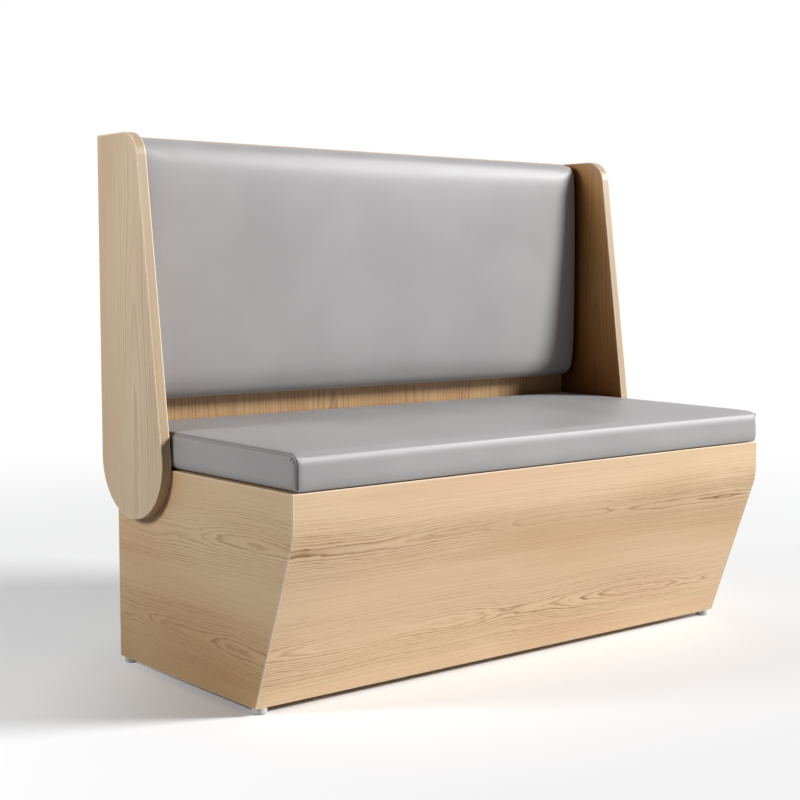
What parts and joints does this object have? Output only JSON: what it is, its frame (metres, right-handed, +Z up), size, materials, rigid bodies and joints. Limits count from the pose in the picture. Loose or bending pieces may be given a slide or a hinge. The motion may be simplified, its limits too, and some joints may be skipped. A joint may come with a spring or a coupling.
{
  "type": "restaurant booth bench",
  "caption": "Booth bench with a canted wooden box base, a winged wooden backrest, and lift-off leatherette seat and back pads on small feet.",
  "frame": {"origin": "middle of the footprint's bounding box, on the floor under the feet", "axes": "+X along the bench to the sitter's left, which is the right side seen from the front; +Y from the seat's front to the backrest's rear; +Z up"},
  "size_m": [1.242, 0.61, 1.005],
  "materials": {
    "base_veneer": "satin lacquered light ash",
    "wing_veneer": "satin lacquered light ash",
    "panel_veneer": "satin lacquered light ash",
    "plywood": "raw",
    "pine": "planed",
    "beech": "turned",
    "leatherette": "fine grained matt",
    "foam": "open cell",
    "felt": "felt",
    "foot_plastic": "moulded",
    "bumper_rubber": "matt",
    "zinc_steel": "zinc plated",
    "insert_brass": "turned"
  },
  "bodies": {
    "carcass": {"base_side_left": "base_veneer", "base_side_right": "base_veneer", "base_front": "base_veneer", "base_back": "plywood", "centre_rib": "plywood", "front_top_rail": "pine", "rear_top_rail": "pine", "front_bottom_rail": "pine", "rear_bottom_rail": "pine", "side_cleat_left": "pine", "side_cleat_right": "pine", "rear_post_left": "pine", "rear_post_right": "pine", "foot_front_left": "foot_plastic", "foot_front_right": "foot_plastic", "foot_rear_left": "foot_plastic", "foot_rear_right": "foot_plastic", "foot_screws": "zinc_steel", "wing_left": "wing_veneer", "wing_right": "wing_veneer", "back_panel": "panel_veneer", "wing_bolts": "zinc_steel", "wing_inserts": "insert_brass", "panel_bolts": "zinc_steel", "panel_inserts": "insert_brass", "panel_dowels": "beech", "wall_clips": "zinc_steel", "wall_clip_screws": "zinc_steel", "felt_strips": "felt"},
    "seat_pad": {"seat_cover": "leatherette", "seat_foam": "foam", "seat_board": "plywood", "seat_batten_left": "pine", "seat_batten_right": "pine", "seat_batten_screws": "zinc_steel"},
    "back_pad": {"back_cover": "leatherette", "back_foam": "foam", "back_board": "plywood", "pad_clips": "zinc_steel", "pad_clip_screws": "zinc_steel", "back_bumpers": "bumper_rubber"}
  },
  "joints": [
    {"name": "seat_pad_lift", "type": "slide", "parent": "carcass", "child": "seat_pad", "axis": [0, 0, 1], "range_m": [0, 0.04]},
    {"name": "back_pad_lift", "type": "slide", "parent": "carcass", "child": "back_pad", "axis": [0, 0, 1], "range_m": [0, 0.016]}
  ]
}
